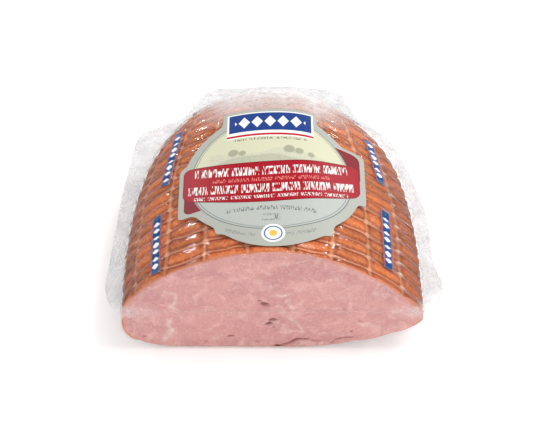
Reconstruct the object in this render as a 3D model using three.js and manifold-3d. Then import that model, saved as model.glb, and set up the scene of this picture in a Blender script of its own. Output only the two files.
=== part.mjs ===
// Half of a boneless smoked ham, lying on its flat side in a clear vacuum pack.
// Millimetres, +Z up. The cut face looks along -Y and the rounded end along +Y.

import * as THREE from 'three';
import Module from 'manifold-3d';
import { ParametricGeometry } from 'three/addons/geometries/ParametricGeometry.js';
import { mergeVertices } from 'three/addons/utils/BufferGeometryUtils.js';

// Overall sizes of the meat
const HAM_WIDTH = 152;
const HAM_HEIGHT = 74;
const HAM_LENGTH = 138;

// How the ham narrows from the cut face to the rounded end: powers of a superellipse
const END_POWER_LENGTH = 2.67;
const END_POWER_WIDTH = 3.37;
const CORE_HEIGHT = 0.3 * HAM_HEIGHT;
const CORE_RISE = 2;
const SOLE_TRIM = 1.2;

// Film: how far it stands off the meat, its thickness, and where its two webs are sealed
const FILM_GAP = 0.4;
const FILM_THICKNESS = 0.4;
const SEAM_HEIGHT = 29;
const SEAM_GAP = 0.3;
const SEAM_CREASE = 1;

// Label, laid on the film over the crown of the ham
const LABEL_GAP = 0.3;
const LABEL_THICKNESS = 0.4;
const LABEL_CENTRE_X = -1;
const LABEL_SETBACK = 3;
const LABEL_RADIUS = 44.5;
const TAB_WIDTH = 48;
const TAB_REACH = 50;
const TAB_CORNER = 4;
const FOOT_RADIUS = 32;
const FOOT_REACH = 51;
const BANNER_HALF_WIDTH = 46.5;
const BANNER_LEFT = [-24, 12];
const BANNER_RIGHT = [-12, 27];
const BANNER_CORNER = 5;

// Resolution of the curved forms
const AROUND = 52;
const ALONG = 26;
const CAP_ROWS = 1;
const OUTLINE_STEPS = 84;
const CURVE_STEPS = 10;
const WELD = 1e-4;
const NORMAL_STEP = 1e-4;

// Cross-section at the cut face, clockwise from the left heel as seen from the front.
// Each pair is the distance from the middle over half the width, and the height over the whole.
const SECTION = [
  [-1, 0.28], [-0.97, 0.46], [-0.83, 0.655], [-0.645, 0.8], [-0.4, 0.925], [-0.1, 0.995],
  [0.21, 0.983], [0.46, 0.866], [0.66, 0.73], [0.83, 0.572], [0.96, 0.424], [1, 0.343],
  [0.95, 0.257], [0.83, 0.173], [0.65, 0.093], [0.32, 0.03], [-0.065, 0], [-0.45, 0.004],
  [-0.75, 0.03], [-0.92, 0.09], [-0.987, 0.18],
];

// Plan of the sealed flange, from the left front corner, round the back, to the right front one.
// Each pair is over half the ham's width and half its length.
const FLANGE = [
  [-1.04, -1], [-1.1, -0.8], [-1.08, -0.5], [-1.04, 0.03], [-0.99, 0.48], [-0.93, 0.77],
  [-0.72, 0.98], [-0.5, 1.24], [-0.2, 1.29], [0.2, 1.29], [0.5, 1.24], [0.62, 1],
  [0.8, 0.73], [0.92, 0.4], [1.03, -0.07], [1.06, -0.56], [1.11, -0.78], [1.04, -1],
];

const wasm = await Module();
wasm.setup();

const halfWidth = HAM_WIDTH / 2;
const halfLength = HAM_LENGTH / 2;
const fullHeight = HAM_HEIGHT + SOLE_TRIM;

const section = new THREE.CatmullRomCurve3(
  SECTION.map(([x, z]) => new THREE.Vector3(x * halfWidth, 0, z * fullHeight - SOLE_TRIM)),
  true,
  'centripetal',
);

// A point of the ham's side: turn runs once round the section, sweep from the cut to the far end.
function sidePoint(turn, sweep) {
  const angle = sweep * Math.PI / 2;
  const along = Math.sin(angle) ** (2 / END_POWER_LENGTH);
  const narrow = Math.max(Math.cos(angle), 0) ** (2 / END_POWER_WIDTH);
  const rim = section.getPointAt(THREE.MathUtils.euclideanModulo(turn, 1));
  const core = CORE_HEIGHT + CORE_RISE * along ** 2;
  return new THREE.Vector3(
    rim.x * narrow,
    -halfLength + HAM_LENGTH * along,
    core + (rim.z - CORE_HEIGHT) * narrow,
  );
}

// The way the side faces at that point
function sideNormal(turn, sweep) {
  if (sweep >= 1) return new THREE.Vector3(0, 1, 0);
  const before = sidePoint(turn - NORMAL_STEP, sweep);
  const after = sidePoint(turn + NORMAL_STEP, sweep);
  const nearer = sidePoint(turn, Math.max(sweep - NORMAL_STEP, 0));
  const farther = sidePoint(turn, Math.min(sweep + NORMAL_STEP, 1));
  return after.sub(before).cross(farther.sub(nearer)).normalize();
}

function toSolid(geometry) {
  geometry.deleteAttribute('normal');
  geometry.deleteAttribute('uv');
  const welded = mergeVertices(geometry, WELD);
  const index = welded.index.array;
  const triangles = [];
  for (let i = 0; i < index.length; i += 3) {
    const [a, b, c] = [index[i], index[i + 1], index[i + 2]];
    if (a !== b && b !== c && c !== a) triangles.push(a, b, c);
  }
  return new wasm.Manifold(new wasm.Mesh({
    numProp: 3,
    vertProperties: welded.attributes.position.array,
    triVerts: new Uint32Array(triangles),
  }));
}

// A box across the whole pack between two heights
function layer(bottom, top) {
  const box = new THREE.BoxGeometry(4 * HAM_WIDTH, 4 * HAM_LENGTH, top - bottom);
  box.translate(0, 0, (bottom + top) / 2);
  return toSolid(box);
}

// The ham's own form grown outwards by lift, flat in front and flat below
function skin(lift) {
  const rows = CAP_ROWS + ALONG;
  const front = -halfLength - lift;
  const form = new ParametricGeometry((turn, v, target) => {
    const row = Math.round(v * rows) - CAP_ROWS;
    const sweep = Math.max(row, 0) / ALONG;
    target.copy(sidePoint(turn, sweep)).addScaledVector(sideNormal(turn, sweep), lift);
    if (row <= 0) target.y = front;
    if (row < 0) target.set(0, front, CORE_HEIGHT);
  }, AROUND, rows);
  return toSolid(form).intersect(layer(-lift, 2 * fullHeight));
}

function prism(shape, bottom, top) {
  const form = new THREE.ExtrudeGeometry(shape, {
    depth: top - bottom,
    bevelEnabled: false,
    curveSegments: CURVE_STEPS,
  });
  form.translate(0, 0, bottom);
  return toSolid(form);
}

function roundedRectangle(left, right, low, high, corner) {
  const shape = new THREE.Shape();
  shape.moveTo(left + corner, low);
  shape.lineTo(right - corner, low);
  shape.absarc(right - corner, low + corner, corner, -Math.PI / 2, 0);
  shape.lineTo(right, high - corner);
  shape.absarc(right - corner, high - corner, corner, 0, Math.PI / 2);
  shape.lineTo(left + corner, high);
  shape.absarc(left + corner, high - corner, corner, Math.PI / 2, Math.PI);
  shape.lineTo(left, low + corner);
  shape.absarc(left + corner, low + corner, corner, Math.PI, 1.5 * Math.PI);
  return shape;
}

// One web's flange: the bag's plan, a little proud of the film at the cut face
function flange(bottom, top) {
  const front = -halfLength - FILM_GAP - FILM_THICKNESS - SEAM_CREASE;
  const edge = new THREE.SplineCurve(
    FLANGE.map(([x, y]) => new THREE.Vector2(x * halfWidth, y * halfLength)),
  );
  const points = edge.getSpacedPoints(OUTLINE_STEPS);
  points.unshift(new THREE.Vector2(-halfWidth, front));
  points.push(new THREE.Vector2(halfWidth, front));
  return prism(new THREE.Shape(points.reverse()), bottom, top);
}

// The label's outline in plan: a disc with a tab behind, a round foot in front, and a banner
// across it whose ends stand out on both sides, each over its own range in front and behind
function labelCutter(bottom, top) {
  const x = LABEL_CENTRE_X;
  const y = -halfLength + LABEL_SETBACK + FOOT_REACH;
  const disc = new THREE.Shape();
  disc.absarc(x, y, LABEL_RADIUS, 0, 2 * Math.PI);
  const foot = new THREE.Shape();
  foot.absarc(x, y - FOOT_REACH + FOOT_RADIUS, FOOT_RADIUS, 0, 2 * Math.PI);
  const halfTab = TAB_WIDTH / 2;
  const tab = roundedRectangle(x - halfTab, x + halfTab, y, y + TAB_REACH, TAB_CORNER);
  const [leftLow, leftHigh] = BANNER_LEFT;
  const [rightLow, rightHigh] = BANNER_RIGHT;
  const reach = BANNER_HALF_WIDTH;
  const left = roundedRectangle(x - reach, x, y + leftLow, y + leftHigh, BANNER_CORNER);
  const right = roundedRectangle(x, x + reach, y + rightLow, y + rightHigh, BANNER_CORNER);
  return [disc, foot, tab, left, right]
    .map((shape) => prism(shape, bottom, top))
    .reduce((whole, piece) => whole.add(piece));
}

function material(colour, roughness, opacity = 1) {
  return new THREE.MeshStandardMaterial({
    color: colour,
    roughness,
    metalness: 0,
    opacity,
    transparent: opacity < 1,
  });
}

function toMesh(name, solid, look) {
  const { vertProperties, triVerts } = solid.getMesh();
  const geometry = new THREE.BufferGeometry();
  geometry.setAttribute('position', new THREE.BufferAttribute(vertProperties, 3));
  geometry.setIndex(new THREE.BufferAttribute(triVerts, 1));
  geometry.computeVertexNormals();
  const mesh = new THREE.Mesh(geometry, look);
  mesh.name = name;
  return mesh;
}

const ceiling = 2 * fullHeight;
const filmOuter = FILM_GAP + FILM_THICKNESS;
const upperSeam = SEAM_HEIGHT + SEAM_GAP / 2;
const lowerSeam = SEAM_HEIGHT - SEAM_GAP / 2;

const ham = skin(0);
const hollow = skin(FILM_GAP);
const wrapped = skin(filmOuter);

const upperFilm = wrapped
  .intersect(layer(upperSeam, ceiling))
  .add(flange(upperSeam, upperSeam + FILM_THICKNESS))
  .subtract(hollow);

const lowerFilm = wrapped
  .intersect(layer(-ceiling, lowerSeam))
  .add(flange(lowerSeam - FILM_THICKNESS, lowerSeam))
  .subtract(hollow);

const labelUnder = filmOuter + LABEL_GAP;
const label = skin(labelUnder + LABEL_THICKNESS)
  .subtract(skin(labelUnder))
  .intersect(labelCutter(upperSeam + FILM_THICKNESS + LABEL_GAP, ceiling));

const clear = 0.3;
const pack = new THREE.Group();
pack.name = 'smoked_ham';
pack.add(
  toMesh('ham_half', ham, material(0xc98f78, 0.5)),
  toMesh('upper_film', upperFilm, material(0xf2f2f4, 0.2, clear)),
  toMesh('lower_film', lowerFilm, material(0xf2f2f4, 0.2, clear)),
  toMesh('top_label', label, material(0xd9dcdc, 0.35)),
);

// Origin at the middle of the pack's footprint, on the surface it rests on
const extent = new THREE.Box3().setFromObject(pack);
const middle = extent.getCenter(new THREE.Vector3());
pack.position.set(-middle.x, -middle.y, -extent.min.z);

export default pack;
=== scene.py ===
# %% [markdown]
# # Half a smoked ham in a vacuum pack
# A boneless ham was tied in an elastic net, smoked, cut across and sealed in a clear pouch. It lies
# on its flat side with the cut face forward. The packed model gives four plain solids: the meat,
# the pouch's two webs and the label. Here each one gets its real surface, in the same place.

# %% Load the packed model
import math
import bpy
import numpy as np
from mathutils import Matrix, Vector
from mathutils.bvhtree import BVHTree


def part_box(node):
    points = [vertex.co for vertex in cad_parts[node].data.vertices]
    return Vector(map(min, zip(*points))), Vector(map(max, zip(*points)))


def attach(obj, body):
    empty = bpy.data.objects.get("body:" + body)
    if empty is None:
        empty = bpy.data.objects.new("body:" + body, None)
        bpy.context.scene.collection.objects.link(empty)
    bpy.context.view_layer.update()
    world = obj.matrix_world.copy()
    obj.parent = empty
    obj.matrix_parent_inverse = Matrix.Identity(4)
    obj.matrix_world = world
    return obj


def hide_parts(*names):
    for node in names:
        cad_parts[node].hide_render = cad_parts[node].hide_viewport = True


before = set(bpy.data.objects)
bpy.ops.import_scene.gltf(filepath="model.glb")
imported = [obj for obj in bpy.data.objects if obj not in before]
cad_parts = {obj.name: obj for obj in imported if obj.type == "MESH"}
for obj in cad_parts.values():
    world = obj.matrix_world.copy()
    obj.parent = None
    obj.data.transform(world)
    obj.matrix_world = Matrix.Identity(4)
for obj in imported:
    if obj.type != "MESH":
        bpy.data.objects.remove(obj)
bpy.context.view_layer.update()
MM = 0.001
print("nodes:", sorted(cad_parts))

# %% [markdown]
# ## The form of the meat
# Every other piece lies on the meat, so its form comes first. The packed solid gives the outline
# of the cut face as a ring of corners. A smooth closed line is drawn through them, and it shrinks
# towards the rounded end along the same curve that the solid follows. Having the form as a
# function, instead of a mesh, lets the meat, the film and the label all be laid on it finely.

# %% The outline of the cut face
ham_low, ham_high = (np.array(corner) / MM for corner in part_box("ham_half"))
CUT_Y = ham_low[1]
HAM_LENGTH = ham_high[1] - ham_low[1]
SOLE_Z = ham_low[2]
AXIS_X = (ham_low[0] + ham_high[0]) / 2
CORE_Z = SOLE_Z + 0.3 * (ham_high[2] - ham_low[2])
MIDDLE_Y = CUT_Y + HAM_LENGTH / 2
CORE_RISE = 2.0
END_POWER_LENGTH = 2.67
END_POWER_WIDTH = 3.37
NEAR = 0.01
HUB = 5.0
OUTLINE_SAMPLES = 2048
OUTLINE_SOFTNESS = 2.0

corners = np.array([vertex.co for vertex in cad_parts["ham_half"].data.vertices]) / MM
ring = corners[corners[:, 1] < CUT_Y + NEAR][:, [0, 2]] - (AXIS_X, CORE_Z)
off_middle = np.hypot(ring[:, 0], ring[:, 1]) > HUB
ring = np.unique(np.round(ring[off_middle], 3), axis=0)
ring = ring[np.argsort(np.arctan2(ring[:, 0], -ring[:, 1]))]


def even_loop(corners, samples, softness):
    """A closed line through the corners with evenly spaced points, its corners rounded off."""
    closed = np.vstack([corners, corners[:1]])
    chord = np.r_[0, np.cumsum(np.hypot(*np.diff(closed, axis=0).T))]
    spots = np.linspace(0, chord[-1], samples, endpoint=False)
    even = np.stack([np.interp(spots, chord, closed[:, k]) for k in (0, 1)])
    waves = np.fft.rfftfreq(samples, chord[-1] / samples)
    soften = np.exp(-2 * (math.pi * waves * softness) ** 2)
    return np.fft.irfft(np.fft.rfft(even) * soften, samples), chord[-1]


outline, PERIMETER = even_loop(ring, OUTLINE_SAMPLES, OUTLINE_SOFTNESS)
upper = outline[1] > 0
CROWN_TURN = np.argmin(np.where(upper, np.abs(outline[0]), np.inf)) / OUTLINE_SAMPLES
print(f"outline of {len(ring)} corners, {PERIMETER:.0f} mm round, crown at turn {CROWN_TURN:.3f}")

# %% The form as a function of two distances
MEAN_RADIUS = 58.0
SWEEP_SAMPLES = 4000
TURN_STEP = 0.002
RUN_STEP = 0.4
TINY = 1e-6

sweep = np.linspace(0, math.pi / 2, SWEEP_SAMPLES)
sweep_along = np.sin(sweep) ** (2 / END_POWER_LENGTH)
sweep_narrow = np.clip(np.cos(sweep), 0, 1) ** (2 / END_POWER_WIDTH)
sweep_narrow[-1] = 0
steps = np.hypot(np.diff(sweep_along) * HAM_LENGTH, np.diff(sweep_narrow) * MEAN_RADIUS)
run_table = np.r_[0, np.cumsum(steps)]
RUN = run_table[-1]


def form(turn, run):
    """Points of the smooth meat: turn goes round from 0 to 1, run goes from the cut in mm."""
    slot = (np.asarray(turn) % 1) * OUTLINE_SAMPLES
    grid = np.arange(OUTLINE_SAMPLES + 1)
    x = np.interp(slot, grid, np.r_[outline[0], outline[0][0]])
    z = np.interp(slot, grid, np.r_[outline[1], outline[1][0]])
    along = np.interp(run, run_table, sweep_along)
    narrow = np.interp(run, run_table, sweep_narrow)
    height = CORE_Z + CORE_RISE * along ** 2 + z * narrow
    return np.stack([
        AXIS_X + x * narrow,
        CUT_Y + HAM_LENGTH * along,
        np.maximum(height, SOLE_Z),
    ], axis=-1)


def facing(turn, run):
    """Outward directions of the smooth meat at the same places."""
    across = form(turn + TURN_STEP, run) - form(turn - TURN_STEP, run)
    along = form(turn, np.minimum(run + RUN_STEP, RUN)) - form(turn, np.maximum(run - RUN_STEP, 0))
    normal = np.cross(along, across)
    length = np.linalg.norm(normal, axis=-1, keepdims=True)
    far_end = np.array([0.0, 1.0, 0.0])
    return np.where(length > TINY, normal / np.maximum(length, TINY), far_end)


print(f"from the cut edge to the far pole: {RUN:.0f} mm")

# %% [markdown]
# ## The marks of the net
# The elastic net left a waffle on the rind: hoops about 8 mm apart, parallel to the cut, and
# strings about 22 mm apart that run to the far end and meet there. The meat swelled between them
# as flat pillows. The pattern is worked out as a height for each place, with a little drift so
# that no two pillows are alike. It moves real vertices, because the marks show in the outline too.

# %% Net pattern
STRINGS = 17
STRING_PITCH = PERIMETER / STRINGS
STRING_SHIFT = -13.3
STRING_WIDTH = 2.3
HOOP_PITCH = 7.6
FIRST_HOOP = 5.2
HOOP_WIDTH = 1.5
NET_DEPTH = 1.5
STRING_DRIFT = 0.06
HOOP_DRIFT = 0.3
HOOP_RIPPLE = 0.1
SHADE_ROWS = 64


def drift(turn, share, cells_round, cells_along, seed):
    """A smooth random field from -1 to 1 that closes round the meat."""
    lattice = np.random.default_rng(seed).uniform(-1, 1, (cells_along + 2, cells_round))
    a = (np.asarray(turn) % 1) * cells_round
    b = np.clip(share, 0, 1) * cells_along
    column, row = np.floor(a).astype(int), np.floor(b).astype(int)
    fa, fb = a - column, b - row
    fa, fb = fa * fa * (3 - 2 * fa), fb * fb * (3 - 2 * fb)
    left, right = column % cells_round, (column + 1) % cells_round
    near = lattice[row, left] * (1 - fa) + lattice[row, right] * fa
    far = lattice[row + 1, left] * (1 - fa) + lattice[row + 1, right] * fa
    return near * (1 - fb) + far * fb


def net(turn, run):
    """Swell of the pillows, nearness to a string, a shade for each cell, and the place in it.

    The swell is 0 in the grooves and 1 on the crowns. The place runs from 0 at a cell's front
    line to 1 at its rear line.
    """
    share = run / RUN
    across = (turn - CROWN_TURN) * PERIMETER + STRING_SHIFT
    string = across / STRING_PITCH + STRING_DRIFT * drift(turn, share, 30, 9, 1)
    hoop = (run - FIRST_HOOP) / HOOP_PITCH + 1
    hoop = hoop + HOOP_DRIFT * drift(turn, share, 17, 7, 2)
    hoop = hoop + HOOP_RIPPLE * drift(turn, share, 51, 24, 3)
    to_string = np.abs((string + 0.5) % 1 - 0.5) * STRING_PITCH
    phase = hoop % 1
    to_hoop = np.minimum(phase, 1 - phase) * HOOP_PITCH
    ribs = 1 - np.exp(-(to_hoop / HOOP_WIDTH) ** 2)
    near_string = np.exp(-(to_string / STRING_WIDTH) ** 2)
    bands = 1 - near_string
    cells = np.random.default_rng(4).uniform(0, 1, (STRINGS, SHADE_ROWS))
    shade = cells[np.floor(string).astype(int) % STRINGS, np.floor(hoop).astype(int) % SHADE_ROWS]
    swell = (0.25 + 0.75 * ribs) * (0.3 + 0.7 * bands) * ribs ** 0.5
    return swell * (0.82 + 0.18 * shade), near_string, shade, phase


print(f"{STRINGS} strings {STRING_PITCH:.1f} mm apart, hoops {HOOP_PITCH} mm apart")

# %% [markdown]
# ## Small helpers
# Blender's operators act on what is selected, in the mode it is in, so a few short functions first
# clear and set the selection. Others read and write all the places of a mesh at once, in mm.

# %% Selecting a piece, and reading and writing its places
def deselect():
    if bpy.context.object and bpy.context.object.mode != "OBJECT":
        bpy.ops.object.mode_set(mode="OBJECT")
    bpy.ops.object.select_all(action="DESELECT")


def pick(piece):
    deselect()
    piece.select_set(True)
    bpy.context.view_layer.objects.active = piece


def places(piece):
    """All vertices of a piece, in mm."""
    flat = np.empty(len(piece.data.vertices) * 3)
    piece.data.vertices.foreach_get("co", flat)
    return flat.reshape(-1, 3) / MM


def put(piece, points):
    piece.data.vertices.foreach_set("co", (np.asarray(points) * MM).ravel())
    piece.data.update()


def note(piece, name, values):
    """Keeps one number per vertex on the mesh, for its material to read."""
    layer = piece.data.attributes.get(name) or piece.data.attributes.new(name, "FLOAT", "POINT")
    layer.data.foreach_set("value", np.asarray(values, dtype=np.float32))


print("places are read and written in mm of", MM, "m")

# %% Welding, wrapping and closing
WELD = 0.01


def weld(piece, distance=WELD):
    """Joins vertices that lie on each other, and turns all faces outwards."""
    pick(piece)
    bpy.ops.object.mode_set(mode="EDIT")
    bpy.ops.mesh.select_all(action="SELECT")
    bpy.ops.mesh.remove_doubles(threshold=distance * MM)
    bpy.ops.mesh.normals_make_consistent(inside=False)
    bpy.ops.object.mode_set(mode="OBJECT")


def wrapped_grid(name, columns, rows):
    """A flat grid, with how far round and how far along each of its vertices is to go."""
    deselect()
    bpy.ops.mesh.primitive_grid_add(x_subdivisions=columns, y_subdivisions=rows, size=1)
    piece = bpy.context.object
    piece.name = name
    piece.data.name = name
    flat = places(piece) * MM
    return piece, flat[:, 0] + 0.5, (flat[:, 1] + 0.5) * RUN


def select_open_edges():
    bpy.ops.mesh.select_all(action="DESELECT")
    bpy.ops.mesh.select_non_manifold(
        extend=False, use_wire=False, use_boundary=True, use_multi_face=False,
        use_non_contiguous=False, use_verts=False)


def close_front(piece, rings):
    """Extrudes the open front edge inwards, ring by ring, and closes it in the middle."""
    core = Vector((AXIS_X, CUT_Y, CORE_Z)) * MM
    pick(piece)
    bpy.ops.object.mode_set(mode="EDIT")
    bpy.ops.mesh.select_mode(type="VERT")
    select_open_edges()
    for k in range(rings, 1, -1):
        bpy.ops.mesh.extrude_edges_move()
        share = (k - 1) / k
        bpy.ops.transform.resize(value=(share, 1, share), center_override=core)
    bpy.ops.mesh.merge(type="CENTER")
    bpy.ops.object.mode_set(mode="OBJECT")


print("vertices closer than", WELD, "mm are joined")

# %% [markdown]
# ## The meat
# A grid is wrapped round the form and pressed in by the net pattern. Its open front edge is then
# extruded inwards in many rings to make the cut face, so the rind and the cut are one closed skin
# and the edge between them is sharp, as a knife leaves it.

# %% Wrap the rind
RIND_COLUMNS = 314
RIND_ROWS = 186
EDGE_ROUNDING = 0.5
EDGE_REACH = 0.6
GRAIN = 0.08
SOLE_FADE = 3.0
LEAST_MARK = 0.25

ham, turn, run = wrapped_grid("ham", RIND_COLUMNS, RIND_ROWS)
swell, string_near, cell_shade, cell_place = net(turn, run)
above_sole = form(turn, run)[:, 2] - SOLE_Z
pressed = np.clip(above_sole / SOLE_FADE, LEAST_MARK, 1)
grain = GRAIN * drift(turn, run / RUN, 180, 90, 5)
lift = -NET_DEPTH * (1 - swell) * pressed + grain
lift -= EDGE_ROUNDING * np.exp(-run / EDGE_REACH)
put(ham, form(turn, run) + facing(turn, run) * lift[:, None])
note(ham, "swell", swell)
note(ham, "string", string_near)
note(ham, "shade", cell_shade)
note(ham, "phase", cell_place)
weld(ham)
print("rind:", len(ham.data.polygons), "faces")

# %% Close the cut face
CUT_RINGS = 64

close_front(ham, CUT_RINGS)
points = places(ham)
on_cut = points[:, 1] < CUT_Y + 2 * NEAR
face_x = points[:, 0] - AXIS_X
face_z = points[:, 2] - SOLE_Z
print("cut face vertices:", int(on_cut.sum()))

# %% [markdown]
# ## What the knife opened
# The cut face is pressed and smooth, but it is not blank: a few small air holes with dark wet
# walls, a few tears near the lower edge, seams of white fat between the muscles, and the outlines
# of the muscles themselves. Holes and tears are pushed into the mesh, because their walls have to
# catch the light. Fat and muscle are numbers on the vertices, which the material turns into colour.

# %% Where holes, tears, fat and muscles lie
# each hole: across, up, half width, half height, tilt in degrees, depth, all in mm from the middle
HOLES = [
    (-4.0, 34.2, 2.1, 1.0, -14, 3.0), (-6.6, 37.0, 1.0, 0.6, -20, 0.7),
    (-2.2, 19.4, 1.7, 1.0, 12, 1.8), (0.4, 16.4, 0.5, 0.4, 0, 0.7),
    (-21.3, 9.2, 1.5, 0.6, 8, 1.6), (42.8, 20.8, 1.0, 0.5, 5, 1.0),
    (39.0, 12.6, 0.8, 0.5, 20, 0.7), (-61.0, 5.6, 1.2, 0.4, -8, 0.9),
    (-64.5, 8.9, 1.3, 0.5, -20, 0.8), (-13.5, 28.0, 0.5, 0.4, 0, 0.6),
    (17.0, 26.5, 0.6, 0.5, 30, 0.6), (35.0, 30.5, 0.6, 0.3, 0, 0.5),
    (-33.5, 5.2, 1.1, 0.3, -15, 0.6), (-8.0, 4.6, 1.2, 0.35, -20, 0.7),
]
# each tear: its points, half width and depth
TEARS = [
    ([(1.0, 1.6), (6.5, 3.4), (11.5, 6.4), (17.5, 7.9)], 0.42, 2.2),
    ([(28.5, 3.2), (31.5, 6.2), (35.0, 7.1), (39.0, 7.0)], 0.35, 1.1),
    ([(17.5, 7.9), (22.5, 5.9), (25.5, 2.9)], 0.4, 0.5),
]
# each seam of fat: its points, half width and strength
FAT = [
    ([(-53, 45), (-48, 42.5), (-48.8, 38), (-50.5, 33), (-48.5, 30)], 0.7, 0.75),
    ([(-48.5, 30), (-45.5, 25), (-42, 21)], 0.5, 0.35),
    ([(-51, 22), (-52.5, 17.5), (-50.5, 13.5), (-53, 8), (-55, 5.5)], 1.3, 0.8),
    ([(-1.5, 39.6), (2.5, 41.6), (7.5, 41.2)], 0.6, 0.7),
    ([(6, 36.5), (9.5, 31), (8.0, 24), (12, 17.5), (15.5, 14)], 0.9, 0.5),
    ([(2.5, 33.5), (5.0, 29.5), (3.5, 21.5)], 0.7, 0.35),
    ([(-34, 31.7), (-29, 32.4)], 0.35, 0.7),
    ([(45, 18), (50, 17), (53, 15)], 1.2, 0.35),
    ([(-30, 7), (-26, 9.5)], 0.9, 0.4),
]
# each muscle: middle across and up, half width, half height, tilt
MUSCLES = [
    (-32, 37, 25, 21, 12), (-25, 21, 22, 12, -8), (22, 44, 26, 17, -14), (40, 22, 24, 14, -18),
    (-62, 18, 12, 15, 0), (5, 20, 16, 15, 20),
]
# the flap of meat that the long tear lifts, written as a hole is, without a depth
FLAP = (15, 3.6, 11, 3.0, 12)
print(len(HOLES), "holes,", len(TEARS), "tears,", len(FAT), "seams of fat,", len(MUSCLES), "muscles")


# %% Distances on the cut face
def to_line(x, z, line):
    """Distance from each place to a line of points."""
    nearest = np.full(x.shape, np.inf)
    for (ax, az), (bx, bz) in zip(line[:-1], line[1:]):
        dx, dz = bx - ax, bz - az
        share = np.clip(((x - ax) * dx + (z - az) * dz) / (dx * dx + dz * dz), 0, 1)
        nearest = np.minimum(nearest, np.hypot(x - ax - share * dx, z - az - share * dz))
    return nearest


def oval(x, z, middle_x, middle_z, half_x, half_z, tilt):
    """Distance from an oval's middle, in which its edge is at 1."""
    c, s = math.cos(math.radians(tilt)), math.sin(math.radians(tilt))
    a, b = x - middle_x, z - middle_z
    return np.hypot((a * c + b * s) / half_x, (b * c - a * s) / half_z)


FACE_WIDTH = 160
FACE_HEIGHT = 80
WANDER = 1.3

span_x, span_z = face_x / FACE_WIDTH, face_z / FACE_HEIGHT
wander_x = face_x + WANDER * drift(span_x, span_z, 40, 20, 6)
wander_z = face_z + WANDER * drift(span_x, span_z, 40, 20, 7)
angle = np.arctan2(face_x, -(points[:, 2] - CORE_Z))
outline_angle = np.arctan2(outline[0], -outline[1])
order = np.argsort(outline_angle)
reach = np.interp(
    angle, outline_angle[order], np.hypot(outline[0], outline[1])[order], period=2 * math.pi)
inset = np.clip(reach - np.hypot(face_x, points[:, 2] - CORE_Z), 0, None)
print("the middle of the cut lies", round(float(inset[on_cut].max()), 1), "mm inside its outline")

# %% Push them into the mesh
MUSCLE_LINE = 1.1
MUSCLE_RISE = 0.35 * 0.3
FLAP_RISE = 0.5
SWOLLEN_SLOW = 0.25
SWOLLEN_FINE = 0.08
SETTLE_WIDTH = 4

depth = np.zeros(len(points))
wet = np.zeros(len(points))
fat = np.zeros(len(points))
muscle = np.zeros(len(points))
for across, up, half_w, half_h, tilt, deep in HOLES:
    bowl = np.exp(-oval(face_x, face_z, across, up, half_w, half_h, tilt) ** 4)
    depth = np.maximum(depth, deep * bowl)
    wet = np.maximum(wet, bowl * min(1.0, 0.45 + deep / 4))
for line, half_w, deep in TEARS:
    bowl = np.exp(-(to_line(wander_x, wander_z, line) / half_w) ** 2)
    depth = np.maximum(depth, deep * bowl)
    wet = np.maximum(wet, bowl * min(1.0, 0.2 + deep / 3))
for line, half_w, strength in FAT:
    fat = np.maximum(fat, strength * np.exp(-(to_line(wander_x, wander_z, line) / half_w) ** 2))
for middle_x, middle_z, half_x, half_z, tilt in MUSCLES:
    edge = oval(wander_x, wander_z, middle_x, middle_z, half_x, half_z, tilt)
    muscle = np.maximum(muscle, np.exp(-((edge - 1) * min(half_x, half_z) / MUSCLE_LINE) ** 2))
flap = np.exp(-oval(face_x, face_z, *FLAP) ** 4)
swollen = SWOLLEN_SLOW * drift(span_x, span_z, 16, 8, 8)
swollen = swollen + SWOLLEN_FINE * drift(span_x, span_z, 90, 45, 9)
settle = np.clip(inset / SETTLE_WIDTH, 0, 1)
relief = (swollen - MUSCLE_RISE * muscle - FLAP_RISE * flap) * settle
points[:, 1] += np.where(on_cut, depth + relief, 0)
put(ham, points)
note(ham, "wet", np.where(on_cut, wet, 0))
note(ham, "fat", np.where(on_cut, fat, 0))
note(ham, "muscle", np.where(on_cut, muscle, 0))
note(ham, "inset", np.where(on_cut, inset, 0))
weld(ham, WELD / 5)
print("ham:", len(ham.data.polygons), "faces, deepest hole", round(float(depth.max()), 1), "mm")

# %% [markdown]
# ## The pouch
# The pouch is two webs of clear film, one under the ham and one over it, sealed together in a
# narrow flange all round. The vacuum draws the film down onto the pillows, and it bridges the
# grooves. A cloth simulation could drape it, but the form is already known, so the film is the same
# wrapped form, a little further out and with shallower marks. One closed skin is made, and each web
# keeps its own side of the seam.

# %% The skin of the pouch
FILM_COLUMNS = 300
FILM_ROWS = 150
FILM_OFF = 0.22
FRONT_OFF = 0.45
FRONT_REACH = 1.5
BRIDGED = 0.5
FRONT_RINGS = 26
FLANK_REACH = 14.0
FLANK_SLACK = 0.7
BACK_START = 92
BACK_FADE = 34
FILM_GRAIN = 0.04
LEAST_GAP = 0.16
TABLE_GAP = 0.25
SEAM_Z = np.array(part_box("upper_film")[0])[2] / MM

pouch, turn, run = wrapped_grid("pouch", FILM_COLUMNS, FILM_ROWS)
swell, string_near, cell_shade, cell_place = net(turn, run)
share = run / RUN
smooth_place = form(turn, run)
above_seam = smooth_place[:, 2] - SEAM_Z
flank = np.exp(-np.abs(above_seam) / FLANK_REACH)
back = np.clip((run - BACK_START) / BACK_FADE, 0, 1)
pleats = drift(turn, share, 12, 56, 11) * drift(turn, share, 30, 22, 12)
folds = np.abs(drift(turn, share, 70, 9, 13))
wrinkles = drift(turn, share, 110, 60, 14) * 0.5 + drift(turn, share, 46, 30, 15)
lift = FILM_OFF - NET_DEPTH * BRIDGED * (1 - swell) ** 2
crumpled = 0.35 + 0.35 * wrinkles + 0.4 * (1 - folds) ** 4
lift += FLANK_SLACK * flank * (0.4 + pleats) + back * crumpled
lift += FILM_GRAIN * drift(turn, share, 150, 75, 16)
lift = np.maximum(lift, -NET_DEPTH * (1 - swell) + LEAST_GAP)
skin_place = smooth_place + facing(turn, run) * lift[:, None]
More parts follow.
